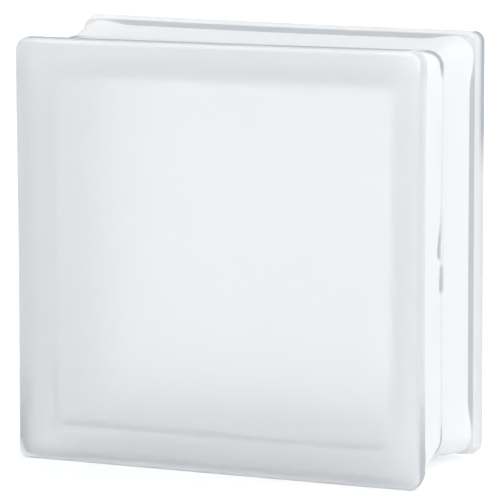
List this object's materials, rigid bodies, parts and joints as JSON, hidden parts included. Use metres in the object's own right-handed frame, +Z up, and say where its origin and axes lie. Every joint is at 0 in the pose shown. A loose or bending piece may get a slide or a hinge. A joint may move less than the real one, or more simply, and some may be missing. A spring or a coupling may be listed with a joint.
{
  "type": "glass block",
  "caption": "Hollow square glass block: satin faces, flanged edges, a mortar groove round its sides and a weld seam at mid-thickness",
  "frame": {"origin": "middle of the underside, on the level of the flange lands that the block stands on", "axes": "X is the width, Y the thickness with the front face at -Y, Z up"},
  "size_m": [0.19, 0.08, 0.19],
  "materials": {
    "satin_glass": "satin, etched outside and fire-polished inside"
  },
  "bodies": {
    "root": {"front_half": "satin_glass", "rear_half": "satin_glass"}
  },
  "joints": []
}
